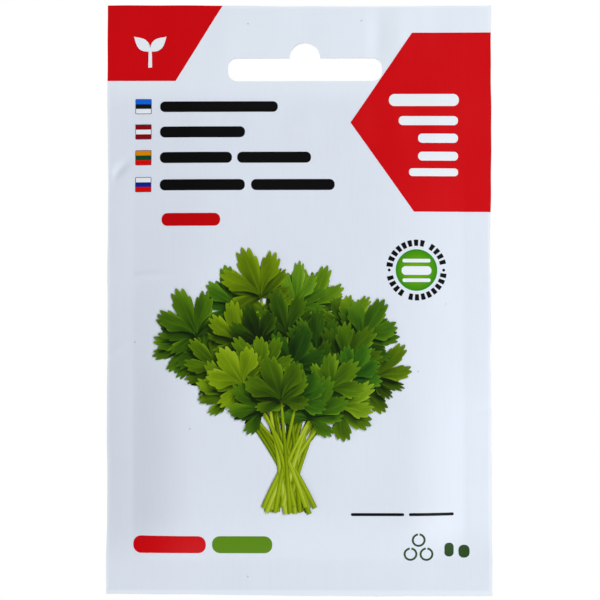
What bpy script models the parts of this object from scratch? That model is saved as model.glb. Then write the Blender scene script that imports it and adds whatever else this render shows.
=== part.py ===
"""Seed packet: two printed films heat-sealed on four sides, a punched hanging slot, and the seeds inside.

Metres, +Z up. The front film faces -Y. The origin is the top of the hanging slot's crown, in the middle
of the slot and between the two films, where a display hook carries the packet.
"""
import math

import bmesh
import bpy
import numpy as np

# Packet, flat outline
PACKET_WIDTH = 0.0800
PACKET_HEIGHT = 0.1225
FILM_THICKNESS = 0.0002
SEALED_GAP = 0.0001

# Heat seals, measured inwards from each edge
SIDE_SEAL = 0.0050
BOTTOM_SEAL = 0.0070
HEADER_SEAL = 0.0190

# Hanging slot: two straight arms with a round crown above their middle
SLOT_WIDTH = 0.0320
SLOT_ARM_HEIGHT = 0.0048
SLOT_CROWN_RADIUS = 0.0032
SLOT_CROWN_BELOW_TOP = 0.0079
SLOT_RIGHT_OF_MIDDLE = 0.00135
SLOT_ARC_STEPS = 10
CUTTER_HALF_DEPTH = 0.012

# Pocket: how far each film stands out from the sealed plane
HEAP_HALF_DEPTH = 0.0026
UPPER_DEPTH_SHARE = 0.45
HEAP_TOP = 0.026
TAPER_TOP = 0.082
BOTTOM_REACH = 0.0105
HEADER_REACH = 0.0230
SIDE_REACH_AT_HEAP = 0.0125
SIDE_REACH_ABOVE = 0.0165
SIDE_REACH_ABOVE_FROM = 0.050

# Film grid: cells in the first seal, the pocket and the last seal, from left to right and from the bottom up
COLUMN_CELLS = (1, 22, 1)
ROW_CELLS = (1, 24, 3)
CROWDING = 0.4

# Seeds
SEED_COUNT = 54
SEED_RADIUS = (0.00195, 0.00218)
SEED_RIBS = 7
SEED_RIB_DEPTH = 0.035
SEED_RINGS = 6
SEED_TIP_LENGTH = 1.07
SEED_CLEARANCE = 0.00012
SEED_ABOVE_SEAL = 0.0076
SEED_BESIDE_SEAL = 0.0092
RANDOM_SEED = 11

# Meshes
WELD_DISTANCE = 1e-6
SHARP_ANGLE = math.radians(40)
TOUCHING = 1e-7

# Outline in the frame of the hanging point
PACKET_MIDDLE_X = -SLOT_RIGHT_OF_MIDDLE
LEFT = PACKET_MIDDLE_X - PACKET_WIDTH / 2
RIGHT = PACKET_MIDDLE_X + PACKET_WIDTH / 2
TOP = SLOT_CROWN_BELOW_TOP
BOTTOM = TOP - PACKET_HEIGHT
POCKET_LEFT = LEFT + SIDE_SEAL
POCKET_RIGHT = RIGHT - SIDE_SEAL
POCKET_TOP = TOP - HEADER_SEAL
POCKET_BOTTOM = BOTTOM + BOTTOM_SEAL

FILM_COLOUR = (0.74, 0.80, 0.90, 1.0)
BACK_FILM_COLOUR = (0.76, 0.80, 0.86, 1.0)
SEED_COLOUR = (0.42, 0.27, 0.12, 1.0)
FILM_ROUGHNESS = 0.32
SEED_ROUGHNESS = 0.75


def clear_scene():
    for old in list(bpy.data.objects):
        bpy.data.objects.remove(old)


def new_collection(name, hidden=False):
    collection = bpy.data.collections.new(name)
    collection.hide_render = hidden
    bpy.context.scene.collection.children.link(collection)
    return collection


def material(name, colour, roughness):
    made = bpy.data.materials.new(name)
    made.use_nodes = True
    shader = made.node_tree.nodes["Principled BSDF"]
    shader.inputs["Base Color"].default_value = colour
    shader.inputs["Roughness"].default_value = roughness
    shader.inputs["Metallic"].default_value = 0.0
    return made


def clamp(value):
    return min(max(value, 0.0), 1.0)


def smooth_step(value, start, end):
    """0 before start, 1 after end, with level ends."""
    t = clamp((value - start) / (end - start))
    return t * t * (3 - 2 * t)


def closing(distance, reach):
    """How open the pocket is at a distance from a seal: a quarter of a sine wave, 1 past reach."""
    return math.sin(math.pi / 2 * clamp(distance / reach))


def pocket_half_depth(x, z):
    """How far one film stands out from the sealed plane at this point of the packet."""
    above_bottom = z - POCKET_BOTTOM
    below_header = POCKET_TOP - z
    from_side = min(x - POCKET_LEFT, POCKET_RIGHT - x)
    if min(above_bottom, below_header, from_side) <= 0:
        return 0.0
    widening = smooth_step(above_bottom, HEAP_TOP, SIDE_REACH_ABOVE_FROM)
    side_reach = SIDE_REACH_AT_HEAP + (SIDE_REACH_ABOVE - SIDE_REACH_AT_HEAP) * widening
    taper = 1 - (1 - UPPER_DEPTH_SHARE) * smooth_step(above_bottom, HEAP_TOP, TAPER_TOP)
    openness = closing(above_bottom, BOTTOM_REACH) * closing(below_header, HEADER_REACH)
    return HEAP_HALF_DEPTH * taper * openness * closing(from_side, side_reach)


def grid_lines(edge, pocket_start, pocket_end, far_edge, cells):
    """Places of the film's grid lines: even over each seal, and closer together at the pocket's two ends."""
    share = np.linspace(0, 1, cells[1] + 1)
    crowded = CROWDING * (1 - np.cos(np.pi * share)) / 2 + (1 - CROWDING) * share
    return np.concatenate(
        [
            np.linspace(edge, pocket_start, cells[0] + 1)[:-1],
            pocket_start + (pocket_end - pocket_start) * crowded,
            np.linspace(pocket_end, far_edge, cells[2] + 1)[1:],
        ]
    )


def film_mesh(name, side):
    """The film's inner face on a grid. side is -1 for the front film and 1 for the back one."""
    columns = grid_lines(LEFT, POCKET_LEFT, POCKET_RIGHT, RIGHT, COLUMN_CELLS)
    rows = grid_lines(BOTTOM, POCKET_BOTTOM, POCKET_TOP, TOP, ROW_CELLS)
    mesh = bpy.data.meshes.new(name)
    grid = bmesh.new()
    bmesh.ops.create_grid(grid, x_segments=sum(COLUMN_CELLS), y_segments=sum(ROW_CELLS), size=0.5)
    for vertex in grid.verts:
        x = columns[round((vertex.co.x + 0.5) * sum(COLUMN_CELLS))]
        z = rows[round((vertex.co.y + 0.5) * sum(ROW_CELLS))]
        vertex.co = (x, side * (SEALED_GAP / 2 + pocket_half_depth(x, z)), z)
    if side > 0:
        bmesh.ops.reverse_faces(grid, faces=grid.faces)
    grid.to_mesh(mesh)
    grid.free()
    return mesh


def arc_points(centre_x, centre_z, radius, start, end, steps):
    angles = [math.radians(start + (end - start) * i / steps) for i in range(steps + 1)]
    return [(centre_x + radius * math.cos(a), centre_z + radius * math.sin(a)) for a in angles]


def cutter_from_outline(name, points, collection):
    """A closed prism along Y from an outline in the XZ plane."""
    curve = bpy.data.curves.new(name + "_outline", "CURVE")
    curve.dimensions = "2D"
    curve.fill_mode = "BOTH"
    curve.extrude = CUTTER_HALF_DEPTH
    spline = curve.splines.new("POLY")
    spline.points.add(len(points) - 1)
    for point, (x, z) in zip(spline.points, points):
        point.co = (x, z, 0, 1)
    spline.use_cyclic_u = True
    flat = bpy.data.objects.new(name + "_outline", curve)
    flat.rotation_euler = (math.pi / 2, 0, 0)
    collection.objects.link(flat)
    bpy.context.view_layer.update()
    graph = bpy.context.evaluated_depsgraph_get()
    mesh = bpy.data.meshes.new_from_object(flat.evaluated_get(graph))
    closed = bmesh.new()
    closed.from_mesh(mesh)
    bmesh.ops.remove_doubles(closed, verts=closed.verts, dist=WELD_DISTANCE)
    bmesh.ops.recalc_face_normals(closed, faces=closed.faces)
    closed.to_mesh(mesh)
    closed.free()
    cutter = bpy.data.objects.new(name, mesh)
    cutter.matrix_world = flat.matrix_world
    cutter.hide_render = True
    cutter.display_type = "WIRE"
    collection.objects.link(cutter)
    bpy.data.objects.remove(flat)
    return cutter


def slot_outline():
    """Anticlockwise: right arm's round end, the crown's arc, then the left arm's round end."""
    end_radius = SLOT_ARM_HEIGHT / 2
    arm_middle = -SLOT_CROWN_RADIUS - end_radius
    end_x = SLOT_WIDTH / 2 - end_radius
    right_end = arc_points(end_x, arm_middle, end_radius, -90, 90, SLOT_ARC_STEPS)
    crown = arc_points(0, -SLOT_CROWN_RADIUS, SLOT_CROWN_RADIUS, 0, 180, 2 * SLOT_ARC_STEPS)
    left_end = arc_points(-end_x, arm_middle, end_radius, 90, 270, SLOT_ARC_STEPS)
    return right_end + crown + left_end


def film(name, side, colour, slot_cutter, collection):
    made = bpy.data.objects.new(name, film_mesh(name, side))
    made.data.materials.append(material(name, colour, FILM_ROUGHNESS))
    collection.objects.link(made)
    wall = made.modifiers.new("film_thickness", "SOLIDIFY")
    wall.thickness = FILM_THICKNESS
    wall.offset = 1.0
    slot = made.modifiers.new("hanging_slot", "BOOLEAN")
    slot.operation = "DIFFERENCE"
    slot.object = slot_cutter
    made.data.shade_smooth()
    made.data.set_sharp_from_angle(angle=SHARP_ANGLE)
    return made


def seed_mesh():
    """A round fruit of radius 1 with ribs from pole to pole and a short tip at its top."""
    mesh = bpy.data.meshes.new("seed")
    fruit = bmesh.new()
    bmesh.ops.create_uvsphere(fruit, u_segments=2 * SEED_RIBS, v_segments=SEED_RINGS, radius=1.0)
    for vertex in fruit.verts:
        around = math.atan2(vertex.co.y, vertex.co.x)
        across = math.hypot(vertex.co.x, vertex.co.y)
        rib = 1 - SEED_RIB_DEPTH * across * (1 - math.cos(SEED_RIBS * around)) / 2
        vertex.co *= rib / SEED_TIP_LENGTH
        if across < TOUCHING and vertex.co.z > 0:
            vertex.co.z *= SEED_TIP_LENGTH
    fruit.to_mesh(mesh)
    fruit.free()
    mesh.shade_smooth()
    return mesh


def touching_places(placed, radius, low_x, high_x, floor):
    """Where a seed of this radius could come to rest against the floor, a wall or seeds already there."""
    reach = radius + SEED_CLEARANCE
    places = [(low_x + radius, floor + radius)]
    for x, z, other in placed:
        distance = other + reach
        drop = z - (floor + radius)
        if abs(drop) < distance:
            shift = math.sqrt(distance**2 - drop**2)
            places += [(x - shift, floor + radius), (x + shift, floor + radius)]
        for wall in (low_x + radius, high_x - radius):
            if abs(wall - x) < distance:
                places.append((wall, z + math.sqrt(distance**2 - (wall - x) ** 2)))
    for i, (x1, z1, r1) in enumerate(placed):
        for x2, z2, r2 in placed[i + 1 :]:
            span = math.hypot(x2 - x1, z2 - z1)
            d1, d2 = r1 + reach, r2 + reach
            if not 0 < span < d1 + d2:
                continue
            along = (d1**2 - d2**2 + span**2) / (2 * span)
            rise = math.sqrt(max(d1**2 - along**2, 0))
            middle = (x1 + along * (x2 - x1) / span, z1 + along * (z2 - z1) / span)
            across = (-(z2 - z1) / span * rise, (x2 - x1) / span * rise)
            places += [(middle[0] + s * across[0], middle[1] + s * across[1]) for s in (1, -1)]
    return places


def is_free(place, radius, placed, low_x, high_x, floor):
    x, z = place
    low_x, high_x, floor = low_x + radius - TOUCHING, high_x - radius + TOUCHING, floor + radius - TOUCHING
    reach = radius + SEED_CLEARANCE - TOUCHING
    return low_x <= x <= high_x and z >= floor and all(
        math.hypot(x - other_x, z - other_z) >= reach + other for other_x, other_z, other in placed
    )


def heap_of_seeds(draw):
    """Seeds one layer deep, each settled in the lowest free place, as (x, z, radius)."""
    low_x = POCKET_LEFT + SEED_BESIDE_SEAL - SEED_RADIUS[0]
    high_x = POCKET_RIGHT - SEED_BESIDE_SEAL + SEED_RADIUS[0]
    floor = POCKET_BOTTOM + SEED_ABOVE_SEAL - SEED_RADIUS[0]
    placed = []
    for _ in range(SEED_COUNT):
        radius = draw.uniform(*SEED_RADIUS)
        free = [
            place
            for place in touching_places(placed, radius, low_x, high_x, floor)
            if is_free(place, radius, placed, low_x, high_x, floor)
        ]
        x, z = min(free, key=lambda place: (round(place[1], 5), place[0]))
        placed.append((x, z, radius))
    return placed


def seeds(collection):
    draw = np.random.default_rng(RANDOM_SEED)
    mesh = seed_mesh()
    mesh.materials.append(material("seed_husk", SEED_COLOUR, SEED_ROUGHNESS))
    for number, (x, z, radius) in enumerate(heap_of_seeds(draw), start=1):
        seed = bpy.data.objects.new(f"seed_{number:02d}", mesh)
        seed.location = (x, 0, z)
        seed.rotation_euler = draw.uniform(-math.pi, math.pi, 3)
        seed.scale = (radius, radius, radius)
        collection.objects.link(seed)


def main():
    clear_scene()
    packet = new_collection("seed_packet")
    cutters = new_collection("cutters", hidden=True)
    slot_cutter = cutter_from_outline("hanging_slot_cutter", slot_outline(), cutters)
    film("front_film", -1, FILM_COLOUR, slot_cutter, packet)
    film("back_film", 1, BACK_FILM_COLOUR, slot_cutter, packet)
    seeds(packet)


main()
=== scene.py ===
"""Dresses a packed seed packet: two heat-sealed printed films, their inks, a herb picture and the seeds."""

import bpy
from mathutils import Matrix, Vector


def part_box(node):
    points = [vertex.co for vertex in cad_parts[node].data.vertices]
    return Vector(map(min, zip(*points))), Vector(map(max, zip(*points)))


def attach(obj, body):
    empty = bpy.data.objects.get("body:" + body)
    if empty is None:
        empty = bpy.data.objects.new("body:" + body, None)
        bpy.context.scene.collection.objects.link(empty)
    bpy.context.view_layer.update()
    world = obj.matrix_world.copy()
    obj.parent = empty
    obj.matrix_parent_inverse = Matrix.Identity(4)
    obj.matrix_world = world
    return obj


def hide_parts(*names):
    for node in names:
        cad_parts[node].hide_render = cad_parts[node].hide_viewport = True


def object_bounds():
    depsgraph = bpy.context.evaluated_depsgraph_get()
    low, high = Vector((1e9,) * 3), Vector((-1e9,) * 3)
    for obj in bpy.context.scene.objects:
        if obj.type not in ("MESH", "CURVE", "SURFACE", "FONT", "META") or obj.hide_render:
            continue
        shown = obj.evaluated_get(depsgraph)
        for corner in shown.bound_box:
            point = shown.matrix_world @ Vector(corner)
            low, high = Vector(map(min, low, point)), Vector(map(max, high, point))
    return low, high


bl_info = {
    "name": "Seed packet dresser",
    "version": (1, 0, 0),
    "blender": (4, 5, 0),
    "location": "View3D > Sidebar > Seed packet",
    "description": "Builds the films, inks, herb picture and seeds of a hanging seed packet",
    "category": "Object",
}

from dataclasses import dataclass

import bmesh
import bpy
import numpy as np
from bpy.props import FloatProperty, FloatVectorProperty, IntProperty, PointerProperty
from mathutils import Vector

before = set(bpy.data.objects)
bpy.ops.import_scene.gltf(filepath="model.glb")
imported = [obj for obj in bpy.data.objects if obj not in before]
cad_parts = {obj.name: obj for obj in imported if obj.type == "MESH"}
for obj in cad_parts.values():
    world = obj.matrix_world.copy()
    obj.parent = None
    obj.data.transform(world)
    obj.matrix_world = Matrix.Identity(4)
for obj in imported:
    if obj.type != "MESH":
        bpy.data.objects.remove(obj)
CAD_LOW, CAD_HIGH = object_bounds()

MM = 0.001

# The packet's face is measured in millimetres: across from its left edge, down from its top edge
FILM_LOW, FILM_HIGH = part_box("front_film")
WIDTH = (FILM_HIGH.x - FILM_LOW.x) / MM
HEIGHT = (FILM_HIGH.z - FILM_LOW.z) / MM
FRONT, BACK = -1, 1
SEED_NODES = sorted(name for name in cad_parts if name.startswith("seed_"))

# The pocket, as the solid films have it
SIDE_SEAL = 5.0
BOTTOM_SEAL = 7.0
HEADER_SEAL = 19.0
HEAP_HALF_DEPTH = 2.6
UPPER_DEPTH_SHARE = 0.45
HEAP_TOP = 26.0
TAPER_TOP = 82.0
BOTTOM_REACH = 10.5
HEADER_REACH = 23.0
SIDE_REACH_AT_HEAP = 12.5
SIDE_REACH_ABOVE = 16.5
SIDE_REACH_ABOVE_FROM = 50.0

# Two films, nearly touching in the seals, with their outer faces where the solid films have theirs
FILM_THICKNESS = 0.24
HALF_GAP = 0.01
FILM_CELL = 0.5
SLOT_WIDTH = 32.0
SLOT_ARM_HEIGHT = 4.8
SLOT_CORNER = 1.9
SLOT_CROWN_RADIUS = 3.2
SLOT_ARC_STEPS = 12
SLOT_CUT_DEPTH = 6.0
SHARP_ANGLE = np.radians(50)

# Where the painted highlights along the film's cut edges fade, in metres from its edges, and the painted
# highlight on its header, in shares of its height
CUT_EDGE_HIGHLIGHT = (0.0005, 0.0009)
FOOT_EDGE_HIGHLIGHT = (0.0009, 0.0013)
HEADER_HIGHLIGHT_FADE = (1.15, 0.85)
DUST_COLOUR = (95, 95, 105)

# Long soft bumps: middle across and down, tilt in degrees, half length, half width, height
SEAL_WAVES = (
    (56.4, 6.5, 90, 6.0, 1.8, -0.26),
    (61.0, 6.0, 88, 7.0, 1.7, 0.12),
    (69.0, 3.5, 95, 5.0, 2.5, -0.12),
    (24.5, 9.0, 80, 8.0, 3.0, 0.12),
    (41.0, 3.5, 92, 4.0, 3.2, -0.12),
    (2.45, 34.4, 42, 2.8, 0.9, -0.4),
    (0.7, 35.9, 60, 1.6, 0.6, 0.2),
    (1.6, 72.0, 25, 3.0, 0.9, 0.09),
    (1.4, 95.0, -15, 3.0, 0.9, -0.08),
    (78.3, 60.0, 150, 3.0, 0.9, 0.11),
    (78.8, 84.0, 20, 2.6, 0.8, -0.10),
    (78.6, 99.0, 160, 2.8, 0.9, 0.09),
    (30.0, 119.5, 100, 3.0, 3.0, 0.05),
    (58.0, 119.0, 84, 3.0, 3.4, -0.05),
)
FRONT_CREASES = (
    (7.5, 56.3, 2, 7.5, 0.5, 0.18),
    (7.5, 57.7, 2, 7.0, 0.9, -0.06),
    (35.4, 23.2, 62, 2.2, 0.7, 0.06),
    (38.6, 25.6, 4, 2.8, 0.8, 0.08),
    (42.3, 23.4, -58, 2.1, 0.7, 0.05),
)
BACK_CREASES = (
    (20.0, 44.0, 20, 9.0, 0.9, 0.09),
    (58.0, 62.0, -14, 11.0, 1.0, 0.08),
    (70.0, 36.0, 40, 5.0, 0.8, 0.10),
    (40.0, 28.0, 3, 6.0, 0.9, 0.07),
)
SIDE_SWAY = 0.22
SIDE_SWAY_LENGTH = 39.0
SIDE_SWAY_REACH = 7.0
SEAL_LEAN = 0.55
SEAL_BEND_RADIUS = 0.6
GATHER_HEIGHT = 0.045
GATHER_SPACING = 9.4
GATHER_MIDDLE = 24.5
GATHER_REACH = 5.0
EDGE_WAVER_REACH = 2.0

# Inks lie a few microns over the film. An overprint lies over the ink below it by more than facets differ
INK_LIFT = 0.016
INK_THICKNESS = 0.002
OVERPRINT_LIFT = 0.012
PATCH_CELL = 0.6
BAR_SHARE = 0.74

# Front layout
CORNER_BLOCK = ((0, 0), (24.2, 0), (0, 15.8), (14.4, 15.8))
SEEDLING_FOOT = (9.1, 13.0)
SEEDLING_NECK = 9.3
SEEDLING_LEAF = (4.5, 2.3)
PANEL_DOWN = (5.85, 24.6, 43.2)
PANEL_LEFT = (63.6, 50.8, 63.9)
PANEL_BARS = (
    (58.8, 73.3, 18.2, 21.6),
    (60.8, 73.1, 22.95, 25.5),
    (64.8, 73.1, 26.6, 29.2),
    (64.8, 73.1, 30.4, 32.9),
    (62.9, 73.1, 33.9, 36.1),
)
TITLE_BARS = (
    (11.2, 35.7, 19.7, 22.7),
    (11.2, 28.9, 24.95, 28.05),
    (11.2, 26.2, 30.3, 33.4),
    (27.3, 42.6, 30.3, 33.4),
    (11.2, 28.9, 36.0, 39.1),
    (30.2, 47.5, 36.0, 39.1),
)
RED_BAR = (11.6, 23.8, 42.95, 46.55)
CHIP_LEFT, CHIP_WIDTH, CHIP_HEIGHT, CHIP_RIM = 6.15, 3.15, 2.9, 0.12
CHIP_TOPS = (19.7, 25.0, 30.4, 36.0)
FOOT_BARS = ((5.8, 20.9, 109.5, 114.4), (22.2, 34.6, 109.5, 114.4))
THIN_BARS = ((50.8, 61.7, 105.25, 105.85), (62.7, 72.0, 105.25, 105.85))
SMALL_BARS = ((70.1, 72.0, 111.0, 114.9), (73.0, 75.3, 111.5, 115.1))
RING_SIGNS = ((63.1, 113.9), (66.4, 113.9), (64.75, 110.9))
RING_RADII = (1.0, 1.42)
RING_TURNS = (8, 352)
RIM_COLOUR = (60, 62, 66)
CHIP_STRIPES = (
    ((14, 100, 220), (20, 18, 21), None),
    ((136, 6, 20), None, (136, 6, 20)),
    ((226, 136, 4), (2, 72, 40), (220, 4, 3)),
    (None, (14, 34, 142), (220, 4, 3)),
)
BADGE_MIDDLE = (64.4, 55.3)
BADGE_RADIUS = 4.3
BADGE_BARS = ((2.9, 0.75, -1.95), (3.1, 1.8, 0.1), (2.9, 0.75, 2.1))
BADGE_RING = (5.0, 6.3)
BADGE_BLOCKS = (-83, -70, -57, -44, -31, -18, -5, 8, 30, 43, 56, 69)
BADGE_BLOCK_TURN = 8.5
BADGE_DOT_RADIUS = 0.3

# Back layout, across as seen from behind
BACK_SEED = 4
BACK_BAND = (6, 74, 21, 24.5)
NOTES_LEFT, NOTES_RIGHT, NOTES_TOP = 8.0, 72, 29.0
NOTES, NOTE_STEP, NOTE_TITLE, NOTE_TITLE_HEIGHT = 4, 15.5, (14, 22), 1.5
LINES, LINES_BELOW, LINE_STEP, LINE_HEIGHT = 5, 3.2, 2.0, 0.7
FULL_LINE, LAST_LINE, BAR_LENGTH, BAR_GAP = (50, 64), (14, 40), (3, 9), 0.9
MONTH_STEP, MONTH_WIDTH, MONTH_LEVELS = 5.35, 4.8, (94, 98.2)
MONTH_GREY = (196, 204, 214)
SOWING_MONTHS = range(3, 8)

# Herb picture: sprigs rise from one gathering place in an upright fan, darkest about its heart
GATHER = (38.0, 92.0)
STEM_FOOT_DOWN = 104.6
PICTURE_HEART = (39.0, 78.0)
PICTURE_STEP = 0.003
LEAF_LOBES = 3
LEAF_TEETH = 15
LEAF_COLUMNS = 76
LEAF_ROWS = 8
STEM_ROWS = 40
STEM_COLUMNS = 4
WARM_GREENS = ((26, 38, 12), (54, 76, 10), (88, 114, 10), (122, 150, 16), (152, 178, 40), (186, 204, 96))
COOL_GREENS = ((20, 38, 16), (36, 72, 18), (58, 104, 22), (92, 140, 34), (130, 170, 66), (168, 198, 116))
STEM_GREENS = ((44, 60, 10), (80, 102, 8), (116, 140, 10), (146, 170, 22), (176, 196, 62), (204, 216, 118))

# Stage, in metres
LIGHT_SIZE = 0.4
WORLD_COLOUR = (0.97, 0.985, 1, 1)
FLOOR_HEIGHT = -0.72
FLOOR_RADIUS = 0.6
FLOOR_THICKNESS = 0.004
CAMERA_OFFSET = (0.00551, -0.34582, -0.00818)
CAMERA_TURN = (91.323, 0.002, 0.862)


def srgb(red, green, blue):
    """Linear colour of display values from 0 to 255."""
    shown = np.array((red, green, blue)) / 255
    linear = np.where(shown <= 0.04045, shown / 12.92, ((shown + 0.055) / 1.055) ** 2.4)
    return tuple(linear.tolist())


def paint(name, description, *shown):
    """A colour property, with its default in display values."""
    return FloatVectorProperty(
        name=name, description=description, subtype="COLOR", size=3, min=0, max=1, default=srgb(*shown)
    )


def amount(name, description, default, **kind):
    return FloatProperty(name=name, description=description, default=default, min=0, **kind)


class PacketFilmSettings(bpy.types.PropertyGroup):
    colour: paint("Film", "Colour of the white laminate", 226, 234, 246)
    crease_strength: amount("Creases", "How strong the creases and gathers are", 1.0)
    edge_waver: amount("Edge waver", "How far the cut edges wander", 0.00004, unit="LENGTH")
    roughness: amount("Roughness", "Roughness of the laminate", 0.4, max=1)


class PacketPrintSettings(bpy.types.PropertyGroup):
    red: paint("Red", "Corner block and arrow panel", 207, 4, 14)
    deep_red: paint("Deep red", "Bar below the title bars", 194, 2, 8)
    black: paint("Black", "Title bars and badge ring", 9, 8, 9)
    white: paint("White", "Bars on red and green", 236, 243, 250)
    badge_green: paint("Badge green", "Rim of the badge's disc", 42, 138, 8)
    badge_lime: paint("Badge lime", "Middle of the badge's disc", 110, 166, 0)
    leaf_green: paint("Leaf green", "Second bar at the foot", 92, 138, 6)
    dark_green: paint("Dark green", "Small signs at the bottom", 46, 77, 35)


class PacketPictureSettings(bpy.types.PropertyGroup):
    leaflet_length: amount("Leaflet length", "Length of the largest leaflet", 0.0085, unit="LENGTH")
    stem_width: amount("Stem width", "Width of a stem in its middle", 0.0009, unit="LENGTH")
    seed: IntProperty(name="Random seed", description="Seed of the sprigs' variation", default=5)


class PacketSeedSettings(bpy.types.PropertyGroup):
    husk: paint("Husk", "Ground colour of the dry fruits", 176, 143, 92)
    rib: paint("Rib", "Lighter colour of ribs and worn places", 205, 178, 128)


class PacketStageSettings(bpy.types.PropertyGroup):
    world_light: amount("World light", "Strength of the light from all sides", 0.05)
    key_power: amount("Key", "Power of the light above on the right", 5.5, unit="POWER")
    low_power: amount("Low", "Power of the light below on the right", 3.6, unit="POWER")
    side_power: amount("Side", "Power of the light that grazes the left side", 2.9, unit="POWER")
    rear_power: amount("Rear", "Power of each light behind the packet", 7.0, unit="POWER")
    floor: paint("Floor", "Colour of the floor", 240, 240, 240)
    floor_glow: amount("Floor glow", "Keeps the floor pale, far below the lights", 0.5)
    lens: amount("Lens", "Focal length on a 36 mm sensor", 100, unit="CAMERA")


def clamp01(values):
    return np.clip(values, 0.0, 1.0)


def smooth_step(values, low, high):
    share = clamp01((values - low) / (high - low))
    return share * share * (3 - 2 * share)


def bell(values, reach):
    return np.exp(-((values / reach) ** 2))


def closing(distance, reach):
    """A quarter sine from the seal's line, whose bend at the line is rounded."""
    rounded = np.hypot(np.maximum(distance, 0.0), SEAL_BEND_RADIUS) - SEAL_BEND_RADIUS
    return np.sin(0.5 * np.pi * clamp01(rounded / reach))


def pocket_half_depth(across, down):
    """Half the pocket's depth: its middle's, times a quarter sine from each side seal."""
    from_side = np.minimum(across - SIDE_SEAL, WIDTH - SIDE_SEAL - across)
    middle_depth, side_reach = pocket_section(down)
    return middle_depth * closing(from_side, side_reach)


def pocket_section(down):
    """Half the depth in the pocket's middle, and how far its sides reach inwards."""
    above_bottom = HEIGHT - BOTTOM_SEAL - down
    widening = smooth_step(above_bottom, HEAP_TOP, SIDE_REACH_ABOVE_FROM)
    side_reach = SIDE_REACH_AT_HEAP + (SIDE_REACH_ABOVE - SIDE_REACH_AT_HEAP) * widening
    taper = 1 - (1 - UPPER_DEPTH_SHARE) * smooth_step(above_bottom, HEAP_TOP, TAPER_TOP)
    rise = closing(above_bottom, BOTTOM_REACH) * closing(down - HEADER_SEAL, HEADER_REACH)
    return HEAP_HALF_DEPTH * taper * rise, side_reach


def ridges(across, down, table):
    """Sum of soft bumps, each a bell along its own direction times a narrower bell beside it."""
    height = np.zeros_like(across)
    for middle_across, middle_down, tilt, half_length, half_width, rise in table:
        cosine, sine = np.cos(np.radians(tilt)), np.sin(np.radians(tilt))
        along = (across - middle_across) * cosine - (down - middle_down) * sine
        beside = (across - middle_across) * sine + (down - middle_down) * cosine
        height += rise * bell(along, half_length) * bell(beside, half_width)
    return height


def seal_sway(across, down):
    """How far both films lean to the viewer: a slow sine down the side seals and the seals' waves. The side
    seals lean back at a share of the pocket's slope."""
    from_side = np.minimum(across, WIDTH - across)
    middle_depth, side_reach = pocket_section(down)
    slope = 0.5 * np.pi * middle_depth / side_reach
    lean = SEAL_LEAN * slope * np.maximum(SIDE_SEAL - from_side, 0.0)
    left_or_right = np.where(across < WIDTH / 2, 0.0, 2.1)
    slow = np.sin(2 * np.pi * down / SIDE_SWAY_LENGTH + left_or_right) * bell(from_side, SIDE_SWAY_REACH)
    return SIDE_SWAY * slow + ridges(across, down, SEAL_WAVES) - lean


def film_relief(across, down, side):
    """Creases and gathers of one film, nought on the seals and at most half the pocket deep."""
    gather = np.sin(2 * np.pi * (across + 2.5 * np.sin(across / 11.0)) / GATHER_SPACING)
    height = GATHER_HEIGHT * gather * bell(down - GATHER_MIDDLE, GATHER_REACH)
    height = height + ridges(across, down, FRONT_CREASES if side == FRONT else BACK_CREASES)
    depth = pocket_half_depth(across, down)
    inside = smooth_step(depth, 0.0, 0.25)
    return np.maximum(height * inside, -0.5 * depth)


def two_sines(place, first, first_phase, second, second_phase, share=0.6):
    """A slow sine and a share of a quicker one, each by its length over a turn and its phase."""
    return np.sin(place / first + first_phase) + share * np.sin(place / second + second_phase)


def edge_waver(across, down, waver):
    """Sideways and upward wander of the cut edges in millimetres: slow bows and two sines."""
    left = 0.19 + 0.13 * bell(down - 44, 16) + waver * two_sines(down, 4.9, 0, 1.9, 1)
    right = -0.34 * bell(down - 51, 8) - 0.3 * bell(down - 74, 6)
    right = right + waver * two_sines(down, 4.1, 2, 1.5, 0, 0.7)
    top = -0.3 * smooth_step(across, 20, 40) + waver * two_sines(across, 5.3, 0.4, 2.1, 0)
    bottom = 0.2 - 0.32 * smooth_step(across, 16, 40) + waver * two_sines(across, 6.1, 1.7, 2.4, 0.5)
    sideways = left * bell(across, EDGE_WAVER_REACH) + right * bell(WIDTH - across, EDGE_WAVER_REACH)
    upward = top * bell(down, EDGE_WAVER_REACH) + bottom * bell(HEIGHT - down, EDGE_WAVER_REACH)
    return sideways, upward


def on_film(across, down, side, lift):
    """Places at a lift over a film's outer face, in metres. The pocket and the creases stand off the middle
    plane. Both films share the seals' sway."""
    film = bpy.context.scene.packet_film
    creases = film.crease_strength
    stand_off = HALF_GAP + FILM_THICKNESS + pocket_half_depth(across, down)
    stand_off = stand_off + creases * film_relief(across, down, side) + lift
    sideways, upward = edge_waver(across, down, film.edge_waver / MM)
    x = FILM_LOW.x + MM * (across + sideways)
    y = MM * (side * stand_off - creases * seal_sway(across, down))
    z = FILM_HIGH.z - MM * (down - upward)
    return np.stack([x, y, z], axis=-1)


def slab_faces(rows, columns):
    """Quads of a slab over a grid: the upper sheet, then the lower sheet and the rim."""
    index = np.arange(rows * columns).reshape(rows, columns)
    top = np.stack([index[:-1, :-1], index[:-1, 1:], index[1:, 1:], index[1:, :-1]], axis=-1).reshape(-1, 4)
    under = top[:, ::-1] + rows * columns
    ring = np.concatenate([index[0, :-1], index[:-1, -1], index[-1, :0:-1], index[:0:-1, 0]])
    after = np.roll(ring, -1)
    rim = np.stack([ring, ring + rows * columns, after + rows * columns, after], axis=-1)
    return top, np.concatenate([under, rim])


def signed_volume(points, quads):
    """Positive when the faces look outwards."""
    corners = (points - points.mean(axis=0))[quads]
    first = np.cross(corners[:, 1], corners[:, 2])
    second = np.cross(corners[:, 2], corners[:, 3])
    return np.sum(corners[:, 0] * (first + second))


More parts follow.
